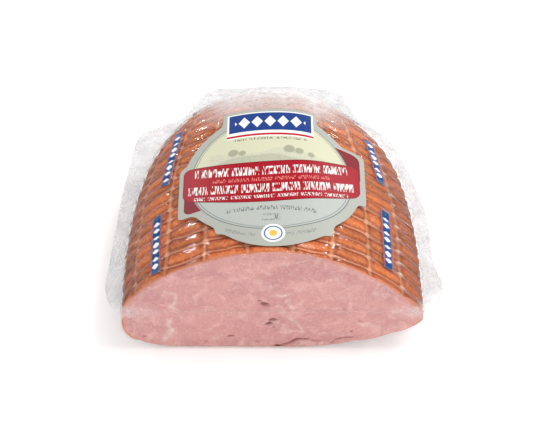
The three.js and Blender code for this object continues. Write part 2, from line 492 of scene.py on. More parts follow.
skin_place[:, 1] -= FRONT_OFF * np.exp(-run / FRONT_REACH)
skin_place[:, 2] = np.maximum(skin_place[:, 2], TABLE_GAP)
put(pouch, skin_place)
note(pouch, "swell", swell)
note(pouch, "flank", flank)
note(pouch, "back", back)
weld(pouch)
close_front(pouch, FRONT_RINGS)
weld(pouch)
print("pouch skin:", len(pouch.data.polygons), "faces")

# %% [markdown]
# ## Two webs and their flange
# A copy of the skin is cut level at the seam for each web, and the open edge is extruded outwards,
# as the film runs out flat to where the pouch was trimmed. How far it runs comes from the packed
# solid. The flange is limp: it waves up and down, more the wider it is, and both webs share the
# same wave because they are welded together.

# %% How far the flange runs out, and how it waves
CORNER_NARROWING = 0.5
CORNER_BEARING = 0.66
CORNER_SPREAD = 0.2
FRONT_NARROWING = 0.96
WAVE_WIDTH = 14
DROOP = 0.1
flange_tree = BVHTree.FromPolygons(
    [vertex.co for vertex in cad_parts["upper_film"].data.vertices],
    [polygon.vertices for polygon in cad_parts["upper_film"].data.polygons])
FLANGE_MID_Z = SEAM_Z + 0.2


def trimmed_edge(x, y):
    """Where a level line from the pack's middle through this place leaves the flange."""
    towards = Vector((x - AXIS_X, y - MIDDLE_Y, 0)).normalized()
    outside = Vector((AXIS_X, MIDDLE_Y, FLANGE_MID_Z)) * MM + towards * 0.3
    hit = flange_tree.ray_cast(outside, -towards)[0]
    return (hit.x / MM, hit.y / MM) if hit else (x, y)


def flange_reach(start):
    """Where the flange ends for each place on the seam, seen from above.

    The film is gathered at the two rear corners, and it is trimmed close across the cut face.
    """
    end = np.array([trimmed_edge(x, y) for x, y, _ in start])
    bearing = np.abs(np.arctan2(start[:, 0] - AXIS_X, start[:, 1] - MIDDLE_Y))
    gathered = np.exp(-((bearing - CORNER_BEARING) / CORNER_SPREAD) ** 2)
    end += (start[:, :2] - end) * (CORNER_NARROWING * gathered)[:, None]
    in_front = np.clip((CUT_Y + 5 - start[:, 1]) / 4, 0, 1)
    end += (start[:, :2] - end) * FRONT_NARROWING * in_front[:, None]
    return end


def limp(x, y, out):
    """Height of the flange's wave, which grows with the distance from the meat."""
    turn_here = np.arctan2(x - AXIS_X, y - MIDDLE_Y) / (2 * math.pi)
    slow = drift(turn_here, np.full_like(x, 0.5), 9, 4, 21)
    quick = drift(turn_here, np.full_like(x, 0.3), 34, 4, 22)
    fine = drift(turn_here, out / 30, 120, 10, 23)
    tail = np.clip((y - MIDDLE_Y - HAM_LENGTH * 0.35) / 20, 0, 1)
    wave = (1.0 - 0.5 * tail) * slow + 0.7 * quick + 0.3 * fine
    return (out / WAVE_WIDTH) * wave - tail * out * DROOP


print("the flange is cut from its packed solid at a height of", round(float(FLANGE_MID_Z), 1), "mm")

# %% Cut a web and run out its flange
FLANGE_STEPS = 14
WEB_GAP = 0.12
FILM_THICKNESS = 0.14


def selected(piece):
    chosen = np.empty(len(piece.data.vertices), bool)
    piece.data.vertices.foreach_get("select", chosen)
    return chosen


def web(name, side):
    """One web: side is 1 for the upper one and -1 for the lower one."""
    pick(pouch)
    bpy.ops.object.duplicate()
    piece = bpy.context.object
    piece.name = name
    piece.data.name = name
    seam = SEAM_Z + side * WEB_GAP
    bpy.ops.object.mode_set(mode="EDIT")
    bpy.ops.mesh.select_all(action="SELECT")
    bpy.ops.mesh.bisect(
        plane_co=(0, 0, seam * MM), plane_no=(0, 0, side), use_fill=False, clear_inner=True)
    bpy.ops.mesh.select_mode(type="VERT")
    select_open_edges()
    bpy.ops.object.mode_set(mode="OBJECT")
    note(piece, "out", np.zeros(len(piece.data.vertices)))
    note(piece, "fold", np.zeros(len(piece.data.vertices)))
    start = places(piece)[selected(piece)]
    print(name, "has an open edge of", len(start), "vertices at a height of",
          start[:, 2].min().round(2), "to", start[:, 2].max().round(2), "mm")
    end = flange_reach(start)
    width = np.hypot(*(end - start[:, :2]).T)
    for k in range(1, FLANGE_STEPS + 1):
        bpy.ops.object.mode_set(mode="EDIT")
        bpy.ops.mesh.extrude_edges_move()
        bpy.ops.object.mode_set(mode="OBJECT")
        chosen = selected(piece)
        points = places(piece)
        # the extruded edge lies on the old one at first, so its order is looked up there
        if k == 1:
            order = [int(np.argmin(np.abs(start - p).sum(axis=1))) for p in points[chosen]]
        seam_place = start[order][:, :2]
        part = k / FLANGE_STEPS
        spread = seam_place + (end[order] - seam_place) * part
        out = width[order] * part
        rise = limp(spread[:, 0], spread[:, 1], out) * (1 - np.exp(-out / 2))
        points[chosen] = np.c_[spread, seam + rise]
        put(piece, points)
        far = np.empty(len(points), dtype=np.float32)
        piece.data.attributes["out"].data.foreach_get("value", far)
        far[chosen] = out
        note(piece, "out", far)
    points = places(piece)
    way_round = np.arctan2(points[:, 0] - AXIS_X, points[:, 1] - MIDDLE_Y) / (2 * math.pi)
    note(piece, "fold", 0.5 + 0.5 * drift(way_round, far / 40, 90, 10, 24))
    pick(piece)
    thick = piece.modifiers.new("thickness", "SOLIDIFY")
    thick.thickness = FILM_THICKNESS * MM
    thick.offset = 1
    thick.material_offset = 1
    thick.material_offset_rim = 0
    bpy.ops.object.modifier_apply(modifier=thick.name)
    bpy.ops.object.shade_smooth()
    print(name, len(piece.data.polygons), "faces")
    return piece


upper_film = web("film_upper", 1)
lower_film = web("film_lower", -1)
bpy.data.objects.remove(pouch)

# %% [markdown]
# ## The label
# The label is one die-cut piece: a disc with a tab behind, a round foot in front and the ends of a
# banner at both sides. Seen from its middle, each direction leaves the outline just once, so the
# outline is the furthest of the simple shapes that it is made of, with its corners rounded as a
# die's are. A ring of that outline is extruded inwards to its middle. The flat label is dropped
# onto the film from above, so that it bends over the crown, and then it gets its thickness.

# %% The outline of the label
LABEL_X = AXIS_X - 1.0
LABEL_Y = MIDDLE_Y - 15.0
DISC_RADIUS = 44.4
DIRECTIONS = 4096
DIE_SAMPLES = 400
DIE_ROUNDING = 1.9
OFF_AXIS = 0.0003


def out_of_disc(way, x, y, radius):
    """How far a line from the label's middle runs before it leaves this disc."""
    along = way[:, 0] * x + way[:, 1] * y
    room = along ** 2 - x * x - y * y + radius ** 2
    return np.where(room > 0, along + np.sqrt(np.maximum(room, 0)), 0)


def out_of_block(way, left, right, front, rear):
    """How far it runs before it leaves this block, or 0 where it misses it."""
    with np.errstate(divide="ignore", invalid="ignore"):
        a, b = left / way[:, 0], right / way[:, 0]
        c, d = front / way[:, 1], rear / way[:, 1]
    enter = np.maximum(np.minimum(a, b), np.minimum(c, d))
    leave = np.minimum(np.maximum(a, b), np.maximum(c, d))
    return np.where((leave > 0) & (enter <= leave), leave, 0)


headings = np.linspace(0, 2 * math.pi, DIRECTIONS, endpoint=False) + OFF_AXIS
way = np.stack([np.cos(headings), np.sin(headings)], axis=1)
foot = out_of_disc(way, 1.5, -18.8, 32.3)
foot_corners = out_of_block(way, -27.0, 30.0, -40.0, -20.0)
tab = out_of_block(way, -24.5, 23.0, 0, 47.8)
left_banner = out_of_block(way, -45.8, 0, -23.4, 12.5)
right_banner = out_of_block(way, 0, 47.2, -11.0, 26.5)
disc = np.full(DIRECTIONS, DISC_RADIUS)
reach_out = np.max([disc, foot, tab, left_banner, right_banner, foot_corners], axis=0)
die_line, die_length = even_loop(way * reach_out[:, None], DIE_SAMPLES, DIE_ROUNDING)
print(f"label outline {die_length:.0f} mm long")

# %% Cut the label
LABEL_RINGS = 50

deselect()
bpy.ops.mesh.primitive_circle_add(vertices=die_line.shape[1], radius=1, fill_type="NOTHING")
label = bpy.context.object
label.name = "label"
label.data.name = "label"
put(label, np.c_[LABEL_X + die_line[0], LABEL_Y + die_line[1], np.zeros(die_line.shape[1])])
pick(label)
bpy.ops.object.mode_set(mode="EDIT")
bpy.ops.mesh.select_all(action="SELECT")
label_core = Vector((LABEL_X, LABEL_Y, 0)) * MM
for k in range(LABEL_RINGS, 1, -1):
    bpy.ops.mesh.extrude_edges_move()
    bpy.ops.transform.resize(value=((k - 1) / k, (k - 1) / k, 1), center_override=label_core)
bpy.ops.mesh.merge(type="CENTER")
bpy.ops.object.mode_set(mode="OBJECT")
print("flat label:", len(label.data.polygons), "faces")

# %% The smooth form that it lands on
LABEL_OFF = 0.62
DROP_COLUMNS = 240
DROP_ROWS = 130

drop_turn, drop_run = (values.ravel() for values in np.meshgrid(
    np.linspace(0, 1, DROP_COLUMNS + 1), np.linspace(0, RUN, DROP_ROWS + 1)))
drop_points = form(drop_turn, drop_run) + LABEL_OFF * facing(drop_turn, drop_run)
first_corners = [
    r * (DROP_COLUMNS + 1) + c for r in range(DROP_ROWS) for c in range(DROP_COLUMNS)]
faces = [(k, k + 1, k + DROP_COLUMNS + 2, k + DROP_COLUMNS + 1) for k in first_corners]
smooth_tree = BVHTree.FromPolygons([Vector(p) for p in drop_points], faces)
print("smooth form:", len(faces), "faces")

# %% Drop the label and thicken it
LABEL_THICKNESS = 0.22
ABOVE_ALL = 200

points = places(label)
landed = np.empty(len(points))
for k, (x, y, _) in enumerate(points):
    hit = smooth_tree.ray_cast(Vector((x, y, ABOVE_ALL)), Vector((0, 0, -1)))[0]
    landed[k] = hit.z if hit else SOLE_Z
points[:, 2] = landed
put(label, points)
weld(label, WELD * 0.4)
if label.data.polygons[len(label.data.polygons) // 2].normal.z < 0:
    label.data.flip_normals()
pick(label)
thick = label.modifiers.new("thickness", "SOLIDIFY")
thick.thickness = LABEL_THICKNESS * MM
thick.offset = 1
bpy.ops.object.modifier_apply(modifier=thick.name)
bpy.ops.object.shade_smooth_by_angle(angle=math.radians(40))
print("label:", len(label.data.polygons), "faces, from a height of", landed.min().round(1),
      "to", landed.max().round(1), "mm")

# %% [markdown]
# ## Colours by arithmetic
# The print on the label and the marks on the film are worked out in the material, from the place
# of each point seen from above. A small class lets the nodes be written as sums, which keeps the
# outlines readable: a mask is 1 inside a shape and 0 outside.

# %% A number made of nodes
class Number:
    """A value in a node tree that can be added, multiplied and compared like a plain number."""

    def __init__(self, tree, socket):
        self.tree, self.socket = tree, socket

    def _with(self, operation, *others):
        node = self.tree.nodes.new("ShaderNodeMath")
        node.operation = operation
        self.tree.links.new(self.socket, node.inputs[0])
        for k, other in enumerate(others, start=1):
            if isinstance(other, Number):
                self.tree.links.new(other.socket, node.inputs[k])
            else:
                node.inputs[k].default_value = other
        return Number(self.tree, node.outputs[0])

    def __add__(self, other):
        return self._with("ADD", other)

    def __sub__(self, other):
        return self._with("SUBTRACT", other)

    def __mul__(self, other):
        return self._with("MULTIPLY", other)

    def __truediv__(self, other):
        return self._with("DIVIDE", other)

    def __radd__(self, other):
        return self + other

    def __rsub__(self, other):
        return (self * -1) + other

    def power(self, other):
        return self._with("POWER", other)

    def size(self):
        return self._with("ABSOLUTE")

    def sine(self):
        return self._with("SINE")

    def floor(self):
        return self._with("FLOOR")

    def over(self, other):
        return self._with("MAXIMUM", other)

    def under(self, other):
        return self._with("MINIMUM", other)

    def clamp(self):
        return self.over(0.0).under(1.0)

    def mask(self, soft=0.12):
        """1 where the number is above 0, 0 where it is below, with a soft step between."""
        return (self / soft + 0.5).clamp()


def linear(red, green, blue):
    """A screen colour from 0 to 255 as the light that Blender works in."""
    channels = [c / 255 for c in (red, green, blue)]
    return tuple(c / 12.92 if c <= 0.04045 else ((c + 0.055) / 1.055) ** 2.4
                 for c in channels) + (1.0,)


print("half a screen's brightness is", round(linear(128, 128, 128)[0], 3), "of its light")

# %% A material that is being built
class Finish:
    """A material that is being built: its tree, its shader and the places it reads."""

    def __init__(self, name):
        self.material = bpy.data.materials.new(name)
        self.material.use_nodes = True
        self.tree = self.material.node_tree
        self.tree.nodes.clear()
        self.output = self.tree.nodes.new("ShaderNodeOutputMaterial")
        self.place = self.tree.nodes.new("ShaderNodeTexCoord").outputs["Object"]

    def node(self, kind, **settings):
        node = self.tree.nodes.new(kind)
        for name, value in settings.items():
            setattr(node, name, value)
        return node

    def link(self, value, socket):
        self.tree.links.new(value.socket if isinstance(value, Number) else value, socket)

    def axes(self):
        """The place in mm across, along and up."""
        split = self.node("ShaderNodeSeparateXYZ")
        self.link(self.place, split.inputs[0])
        return [Number(self.tree, split.outputs[k]) * 1000.0 for k in range(3)]

    def noise(self, size_mm, detail=2.0, stretch=(1, 1, 1), rough=0.5, shift=0.0, bend=0.0):
        """Smooth random values from about 0 to 1, with features of this size."""
        mapping = self.node("ShaderNodeMapping")
        mapping.inputs["Scale"].default_value = [1000 / (size_mm * s) for s in stretch]
        mapping.inputs["Location"].default_value = (shift, shift * 0.7, shift * 1.3)
        self.link(self.place, mapping.inputs["Vector"])
        texture = self.node("ShaderNodeTexNoise")
        texture.inputs["Scale"].default_value = 1.0
        texture.inputs["Detail"].default_value = detail
        texture.inputs["Roughness"].default_value = rough
        texture.inputs["Distortion"].default_value = bend
        self.link(mapping.outputs[0], texture.inputs["Vector"])
        return Number(self.tree, texture.outputs["Fac"])

    def vertex(self, name):
        attribute = self.node("ShaderNodeAttribute", attribute_name=name)
        return Number(self.tree, attribute.outputs["Fac"])

    def colour(self, rgb):
        node = self.node("ShaderNodeRGB")
        node.outputs[0].default_value = linear(*rgb)
        return node.outputs[0]

    def paint(self, below, rgb, mask):
        """Lays a colour over another where the mask is 1."""
        mix = self.node("ShaderNodeMix", data_type="RGBA")
        self.link(mask, mix.inputs[0])
        self.link(below, mix.inputs[6])
        mix.inputs[7].default_value = linear(*rgb)
        return mix.outputs[2]

    def tint(self, below, amount):
        """Makes a colour lighter or darker by a number around 1."""
        scale = self.node("ShaderNodeVectorMath", operation="SCALE")
        self.link(below, scale.inputs[0])
        self.link(amount, scale.inputs["Scale"])
        return scale.outputs[0]

    def bump(self, height, distance_mm, strength=1.0):
        node = self.node("ShaderNodeBump")
        node.inputs["Strength"].default_value = strength
        node.inputs["Distance"].default_value = distance_mm * MM
        self.link(height, node.inputs["Height"])
        return node.outputs[0]

    def principled(self, **values):
        shader = self.node("ShaderNodeBsdfPrincipled")
        for name, value in values.items():
            shader.inputs[name.replace("_", " ")].default_value = value
        return shader


print("a finish has", len([name for name in vars(Finish) if name[0] != "_"]), "kinds of step")

# %% [markdown]
# ## Smoked rind
# Smoke turns the rind orange brown, in streaks and blotches. The bottom of a groove, where the net
# kept the smoke off, is a thin line of pale tan. Light and shade on the pillows are painted into the
# colour: a painted highlight on each pillow's side towards the cut, painted shade on its far side,
# where it folds down into the groove, and painted shade along the sides of the grooves and strings.
# The lower flanks get painted shade too, darker towards the table. The colours follow the same
# numbers that shaped the mesh, so the paint can't slip off the relief. The rind is moist, but most
# of the gloss is the film's, so its own is weak.

# %% Rind
SMOKED = (196, 92, 36)
STREAKED = (172, 68, 20)
BLOTCHED = (150, 52, 12)
PAINTED_PILLOW_HIGHLIGHT = (230, 142, 86)
# painted highlight and painted shade for the pillows
PAINTED_PILLOW_SHADE = (112, 34, 8)
PALE_TAN = (236, 166, 122)
STRING_TAN = (234, 160, 112)
# painted shade along the sides of the hoop grooves
PAINTED_GROOVE_SHADE = (112, 38, 10)
# painted shade along the sides of the strings
PAINTED_STRING_SHADE = (118, 40, 12)
SPECK_DARK = (112, 36, 8)
# painted shade on the lower flanks, fading out between these heights
PAINTED_FLANK_SHADE = (128, 40, 6)
FLANK_LOW, FLANK_RISE = 26.0, 26.0

rind = Finish("smoked_rind")
pillow = rind.vertex("swell")
groove = (1.0 - pillow).clamp()
blotch = rind.noise(16, detail=3)
speck = rind.noise(1.3, detail=4, rough=0.65)
streak = rind.noise(3.2, detail=3, stretch=(1.7, 0.6, 1.7), bend=0.6)
phase = rind.vertex("phase")
# where each cell gets its painted highlight and its painted shade
highlight_towards_cut = (1.0 - (phase - 0.32).size() * 3.6).clamp()
shade_on_far_side = ((phase - 0.62) * 4.5).clamp()
groove_side_shade = (1.0 - (pillow - 0.3).size() * 3.6).clamp()
groove_floor = ((groove - 0.86) * 9.0).clamp()
string_near = rind.vertex("string")
string_side_shade = (1.0 - (string_near - 0.42).size() * 4.0).clamp()
under_string = (string_near * 3.4 - 2.5).clamp()
up_the_side = ((rind.axes()[2] - FLANK_LOW) / FLANK_RISE).clamp()
rind_colour = rind.colour(SMOKED)
for paint, where in (
    (STREAKED, ((streak - 0.45) * 5.0).clamp() * 0.6),
    (BLOTCHED, ((blotch - 0.5) * 5.0).clamp() * 0.5),
    # painted highlight on each pillow's side towards the cut
    (PAINTED_PILLOW_HIGHLIGHT, highlight_towards_cut * 0.55),
    # painted shade on each pillow's far side, where it folds down into the groove
    (PAINTED_PILLOW_SHADE, shade_on_far_side * 0.8),
    (PALE_TAN, ((speck - 0.52) * 10.0).clamp() * 0.45),
    (SPECK_DARK, ((speck - 0.42) * -10.0).clamp() * 0.35),
    # painted shade along the sides of the hoop grooves
    (PAINTED_GROOVE_SHADE, groove_side_shade * 0.55),
    (PALE_TAN, groove_floor * 0.85),
    # painted shade along the sides of the string grooves
    (PAINTED_STRING_SHADE, string_side_shade * 0.4),
    (STRING_TAN, under_string * 0.75),
    # painted shade on the lower flanks, deeper towards the table
    (PAINTED_FLANK_SHADE, (1.0 - up_the_side) * 0.4),
):
    rind_colour = rind.paint(rind_colour, paint, where)
uneven = rind.vertex("shade") * 0.42 + 0.71
# random tone for each cell, times painted shade that darkens the lower flanks
rind_colour = rind.tint(rind_colour, uneven * (up_the_side * 0.34 + 0.66))
shader = rind.principled(Roughness=0.4, Subsurface_Weight=0.04, Subsurface_Scale=0.001)
shader.inputs["Specular IOR Level"].default_value = 0.07
rind.link(rind_colour, shader.inputs["Base Color"])
rind.link(rind.bump(speck + streak, 0.25, 0.5), shader.inputs["Normal"])
rind.link((speck * 0.3 + 0.3).clamp(), shader.inputs["Roughness"])
rind.link(shader.outputs[0], rind.output.inputs[0])
print("rind:", len(rind.tree.nodes), "nodes")

# %% [markdown]
# ## Cut meat
# Cured pork is a pale, even pink, mottled in soft patches with a finer grain inside them. The
# outlines of the muscles are slightly darker. The meat is dark and wet in the holes, white where
# fat lies, and the outermost millimetre is tanned by the smoke.

# %% Cut
CURED = (222, 160, 154)
DEEPER = (200, 136, 134)
PALER = (236, 190, 182)
FIBRE_DARK = (188, 120, 120)
FIBRE_PALE = (240, 200, 192)
VEIN = (236, 205, 198)
MUSCLE_EDGE = (200, 134, 136)
WHITE_FAT = (243, 222, 212)
NEAR_RIND = (222, 152, 132)
RIND_EDGE = (212, 130, 86)
WET = (148, 52, 48)
GRIT_DARK = (186, 104, 106)
GRIT_PALE = (244, 206, 200)
ENDS_START, ENDS_FADE = 52.0, 16.0

cut = Finish("cut_meat")
patch = cut.noise(24, detail=2, stretch=(1.2, 1, 0.8), bend=0.8)
cloud = cut.noise(8, detail=4, rough=0.6, shift=3.0, bend=1.2)
fibre = cut.noise(1.6, detail=4, rough=0.7, stretch=(1, 1, 1.6))
grit = cut.noise(0.8, detail=2, rough=0.7, shift=2.0)
marble = cut.noise(9, detail=5, rough=0.62, shift=9.0, bend=2.2)
vein = (1.0 - ((marble - 0.5).size() * 26.0).clamp()) * ((patch - 0.5) * 8.0).clamp()
broken = ((cloud + fibre) * 2.2 - 1.5).clamp()
from_rind = cut.vertex("inset")
towards_end = ((cut.axes()[0].size() - ENDS_START) / ENDS_FADE).clamp()
rim = (1.0 - from_rind / (towards_end * 1.4 + 1.1)).clamp()
meat_colour = cut.colour(CURED)
for paint, where in (
    (DEEPER, ((patch - 0.44) * 5.0).clamp() * 0.75),
    (PALER, ((cloud - 0.5) * 5.0).clamp() * 0.7),
    (FIBRE_DARK, ((fibre - 0.56) * 6.0).clamp() * 0.45),
    (FIBRE_PALE, ((0.42 - fibre) * 6.0).clamp() * 0.4),
    (VEIN, vein * 0.32),
    (MUSCLE_EDGE, cut.vertex("muscle") * (cloud * 1.1) * 0.5),
    (WHITE_FAT, cut.vertex("fat") * broken),
    (NEAR_RIND, (1.0 - from_rind / 3.2).clamp() * 0.6),
    (RIND_EDGE, (rim * 1.4).clamp() * 0.9),
    (WET, (cut.vertex("wet") * 1.3).clamp()),
    (GRIT_DARK, ((grit - 0.54) * 10.0).clamp() * 0.25),
    (GRIT_PALE, ((0.46 - grit) * 10.0).clamp() * 0.2),
):
    meat_colour = cut.paint(meat_colour, paint, where)
meat_colour = cut.tint(meat_colour, 0.87 + (cloud - 0.5) * 0.2)
shader = cut.principled(Roughness=0.5, Subsurface_Weight=0.08, Subsurface_Scale=0.001)
shader.inputs["Specular IOR Level"].default_value = 0.2
cut.link(meat_colour, shader.inputs["Base Color"])
cut.link(cut.bump(fibre + cloud, 0.2, 0.35), shader.inputs["Normal"])
cut.link(shader.outputs[0], cut.output.inputs[0])
print("cut:", len(cut.tree.nodes), "nodes")

# %% Put the two finishes on the meat
DEEPEST = 4.5
FACES_FRONT = 0.55
INSIDE_EDGE = 0.6

ham.data.materials.clear()
ham.data.materials.append(rind.material)
ham.data.materials.append(cut.material)
middles = np.empty(len(ham.data.polygons) * 3)
ham.data.polygons.foreach_get("center", middles)
normals = np.empty(len(ham.data.polygons) * 3)
ham.data.polygons.foreach_get("normal", normals)
is_cut = (middles[1::3] / MM < CUT_Y + DEEPEST) & (normals[1::3] < -FACES_FRONT)
inset_value = np.empty(len(ham.data.vertices), dtype=np.float32)
ham.data.attributes["inset"].data.foreach_get("value", inset_value)
first_vertex = np.array([polygon.vertices[0] for polygon in ham.data.polygons])
is_cut |= inset_value[first_vertex] > INSIDE_EDGE
ham.data.polygons.foreach_set("material_index", is_cut.astype(np.int32))
pick(ham)
bpy.ops.object.shade_smooth_by_angle(angle=math.radians(50))
print("cut faces:", int(is_cut.sum()), "of", len(is_cut))

# %% [markdown]
# ## Film
# Drum-tight film is nearly invisible: only its gloss shows. Where it is slack it turns milky, in
# the pleats along the seam, in the crumpled part behind and in the flange. On the grooves low on the
# flanks the same milky white is painted highlight, thin lines that stand for the film's glints. A
# glass shader would bend the light twice in so thin a wall and come out grey, so the material mixes
# three simple things: clear, gloss that grows at a slant, and a milky white whose share is worked
# out from the place. The inner side of the film is left clear. Blue strips are printed on the upper
# web, two on each side, with a row of white beads and a thin red line along both edges.

# %% The strips printed on the film
# each strip: one end and the other, seen from above, in mm from the ham's axis and middle
STRIPS = [
    ((-48.8, 34.3), (-54.9, -7.2)), ((-57.7, -27.2), (-57.2, -65.3)),
    ((49.6, 34.3), (55.4, 0.3)), ((56.3, -19.8), (56.6, -57.5)),
]
STRIP_HALF_WIDTH = 1.95
BEAD_PITCH = 4.6
BEAD_MARGIN = 2.5
SIDE_LINE_OFF = 0.35
SIDE_LINE_HALF = 0.28


def strip_masks(finish, x, y):
    """The blue ground, its pale beads and its red edge lines, for all strips together."""
    ground = beads = side = None
    for (ax, ay), (bx, by) in STRIPS:
        length = math.hypot(bx - ax, by - ay)
        dx, dy = (bx - ax) / length, (by - ay) / length
        px, py = x - (AXIS_X + ax), y - (MIDDLE_Y + ay)
        along = px * dx + py * dy
        aside = px * -dy + py * dx
        to_end = length / 2 - (along - length / 2).size()
        within = to_end.mask(0.3)
        ground_here = (STRIP_HALF_WIDTH - aside.size()).mask(0.25) * within
        bead = (along * (2 * math.pi / BEAD_PITCH)).sine() * 0.75 + 0.3 - (aside / 1.45).size()
        beads_here = bead.mask(0.3) * within * (to_end - BEAD_MARGIN).mask(0.4)
        to_side_line = (aside.size() - STRIP_HALF_WIDTH - SIDE_LINE_OFF).size()
        side_here = (SIDE_LINE_HALF - to_side_line).mask(0.15) * within
        ground = ground_here if ground is None else ground.over(ground_here)
        beads = beads_here if beads is None else beads.over(beads_here)
        side = side_here if side is None else side.over(side_here)
    return ground, beads, side


print(len(STRIPS), "strips", 2 * STRIP_HALF_WIDTH, "mm wide")

# %% Film
STRIP_BLUE = (0, 70, 126)
STRIP_WHITE = (244, 246, 250)
STRIP_RED = (196, 50, 60)
MILK = (253, 247, 246)
MILK_FLANGE = (216, 216, 217)
STRAIGHT_GLOSS = 0.017
SLANT_GLOSS = 0.045
THICKEST_HAZE = 0.85


def film_finish(name, printed):
    """Clear film with gloss, milky white and painted highlights; the printed one also has the
    strips.
    """
    film = Finish(name)
    x, y, z = film.axes()
    crumple = film.noise(7, detail=2, rough=0.5, stretch=(1.6, 1.0, 1.0), bend=1.5)
    thread = film.noise(3.0, detail=1.5, rough=0.5, stretch=(1.5, 0.7, 2.2), bend=2.0, shift=5.0)
    line = 1.0 - ((thread - 0.5).size() * 24.0).clamp()
    slant = film.node("ShaderNodeLayerWeight")
    slant.inputs["Blend"].default_value = 0.5
    grazing = Number(film.tree, slant.outputs["Facing"])
    groove = (1.0 - film.vertex("swell")).clamp()
    flank_near = film.vertex("flank")
    back_near = film.vertex("back")
    out = film.vertex("out")
    fin = (out / 0.7).clamp()
    behind_cut = ((y - CUT_Y - 1.5) / 5.0).clamp()
    slack = flank_near.power(1.6)
    # painted highlight: thin milky white lines on the grooves low on the flanks, for the film's
    # glints
    ridge_highlight = ((groove - 0.9) * 13.0).clamp()
    haze_and_highlight = flank_near.power(0.7) * behind_cut * ridge_highlight * (crumple * 1.3 - 0.12).clamp()
    haze_and_highlight = haze_and_highlight + slack * behind_cut * (line * (crumple * 3.4 - 1.6).clamp() * 0.5)
    towards_crown = 1.0 - ((x.size() - 22.0) / 20.0).clamp() * 0.92
    high = ((z - 34.0) / 22.0).clamp() * 0.7 + 0.3
    haze_and_highlight = haze_and_highlight + back_near * towards_crown * high * (line * 0.5 + crumple * 1.1 + 0.2).clamp()
    corner = ((x.size() - 56.0) / 16.0).clamp() * (1.0 - (z - SEAM_Z).size() / 6.0).clamp()
    haze_and_highlight = haze_and_highlight + corner * (1.0 - behind_cut) * (line * 0.55 + crumple * 0.4)
    crease = (0.35 - (z - SEAM_Z).size()).mask(0.3) * (1.0 - behind_cut) * (1.0 - fin)
    haze_and_highlight = haze_and_highlight + crease * (crumple * 0.22)
    fold = 1.0 - ((film.vertex("fold") - 0.5).size() * 7.0).clamp()
    soft = film.noise(14, detail=1.0, shift=7.0, bend=0.8)
    loose = soft * 0.45 + 0.05 + fold * 0.16
    haze_and_highlight = haze_and_highlight * (1.0 - fin) + fin * behind_cut * loose
    haze_and_highlight = (haze_and_highlight + 0.004).clamp() * THICKEST_HAZE
    clear = film.node("ShaderNodeBsdfTransparent")
    gloss = film.node("ShaderNodeBsdfGlossy")
    gloss.inputs["Roughness"].default_value = 0.09
    ripple = film.bump((crumple + thread * 0.5) * (1.0 - fin * 0.88), 0.5, 0.3)
    film.link(ripple, gloss.inputs["Normal"])
    shine = film.node("ShaderNodeMixShader")
    gloss_share = (grazing.power(5.0) * SLANT_GLOSS + STRAIGHT_GLOSS) * (1.0 - fin * 0.4)
    film.link(gloss_share, shine.inputs[0])
    film.link(clear.outputs[0], shine.inputs[1])
    film.link(gloss.outputs[0], shine.inputs[2])
    milk = film.principled(Roughness=0.4)
    milk.inputs["Specular IOR Level"].default_value = 0.25
    milk_colour = film.paint(film.colour(MILK), MILK_FLANGE, fin * (1.0 - fold * 0.6))
    cover = haze_and_highlight
    if printed:
        ground, beads, side = strip_masks(film, x, y)
        milk_colour = film.paint(milk_colour, STRIP_RED, side)
        milk_colour = film.paint(milk_colour, STRIP_BLUE, ground)
        milk_colour = film.paint(milk_colour, STRIP_WHITE, beads)
        cover = haze_and_highlight.over(ground.over(side * 0.8) * (1.0 - fin))
    film.link(milk_colour, milk.inputs["Base Color"])
    film.link(ripple, milk.inputs["Normal"])
    whole = film.node("ShaderNodeMixShader")
    film.link(cover, whole.inputs[0])
    film.link(shine.outputs[0], whole.inputs[1])
    film.link(milk.outputs[0], whole.inputs[2])
    film.link(whole.outputs[0], film.output.inputs[0])
    return film


inside = Finish("film_inside")
inside.link(inside.node("ShaderNodeBsdfTransparent").outputs[0], inside.output.inputs[0])
upper_finish = film_finish("clear_film_printed", True)
lower_finish = film_finish("clear_film_plain", False)
for piece, finish in ((upper_film, upper_finish), (lower_film, lower_finish)):
    piece.data.materials.clear()
    piece.data.materials.append(finish.material)
    piece.data.materials.append(inside.material)
print("film:", len(upper_finish.tree.nodes), "nodes")

# %% [markdown]
# ## Print on the label
# Everything on the label is plain print: a pale field over a grey one in a double ring, soft hills
# with round trees, a red banner with folded ends, a blue plaque with white lozenges on the tab, and
# a ringed dot on the foot. Rows of small uneven strokes stand where a printed label has its words,
# so that it reads as a label and says nothing. Every shape is a mask worked out from the place, and
# the colours are laid over each other in the order in which a press would lay them.

# %% Shapes for print
GROUP_LETTERS = 7.3


def block(x, y, left, right, front, rear, soft=0.15):
    """1 inside an upright rectangle."""
    middle_x, half_x = (left + right) / 2, (right - left) / 2
    middle_y, half_y = (front + rear) / 2, (rear - front) / 2
    return (half_x - (x - middle_x).size()).mask(soft) * (half_y - (y - middle_y).size()).mask(soft)


def rounded_depth(across, along, half_across, half_along, corner):
    """How deep a place lies inside a block with rounded corners."""
    beside = (across.size() - (half_across - corner)).over(0.0)
    above = (along.size() - (half_along - corner)).over(0.0)
    return corner - (beside * beside + above * above).power(0.5)


def distance(x, y, middle_x, middle_y):
    from_x, from_y = x - middle_x, y - middle_y
    return (from_x * from_x + from_y * from_y).power(0.5)


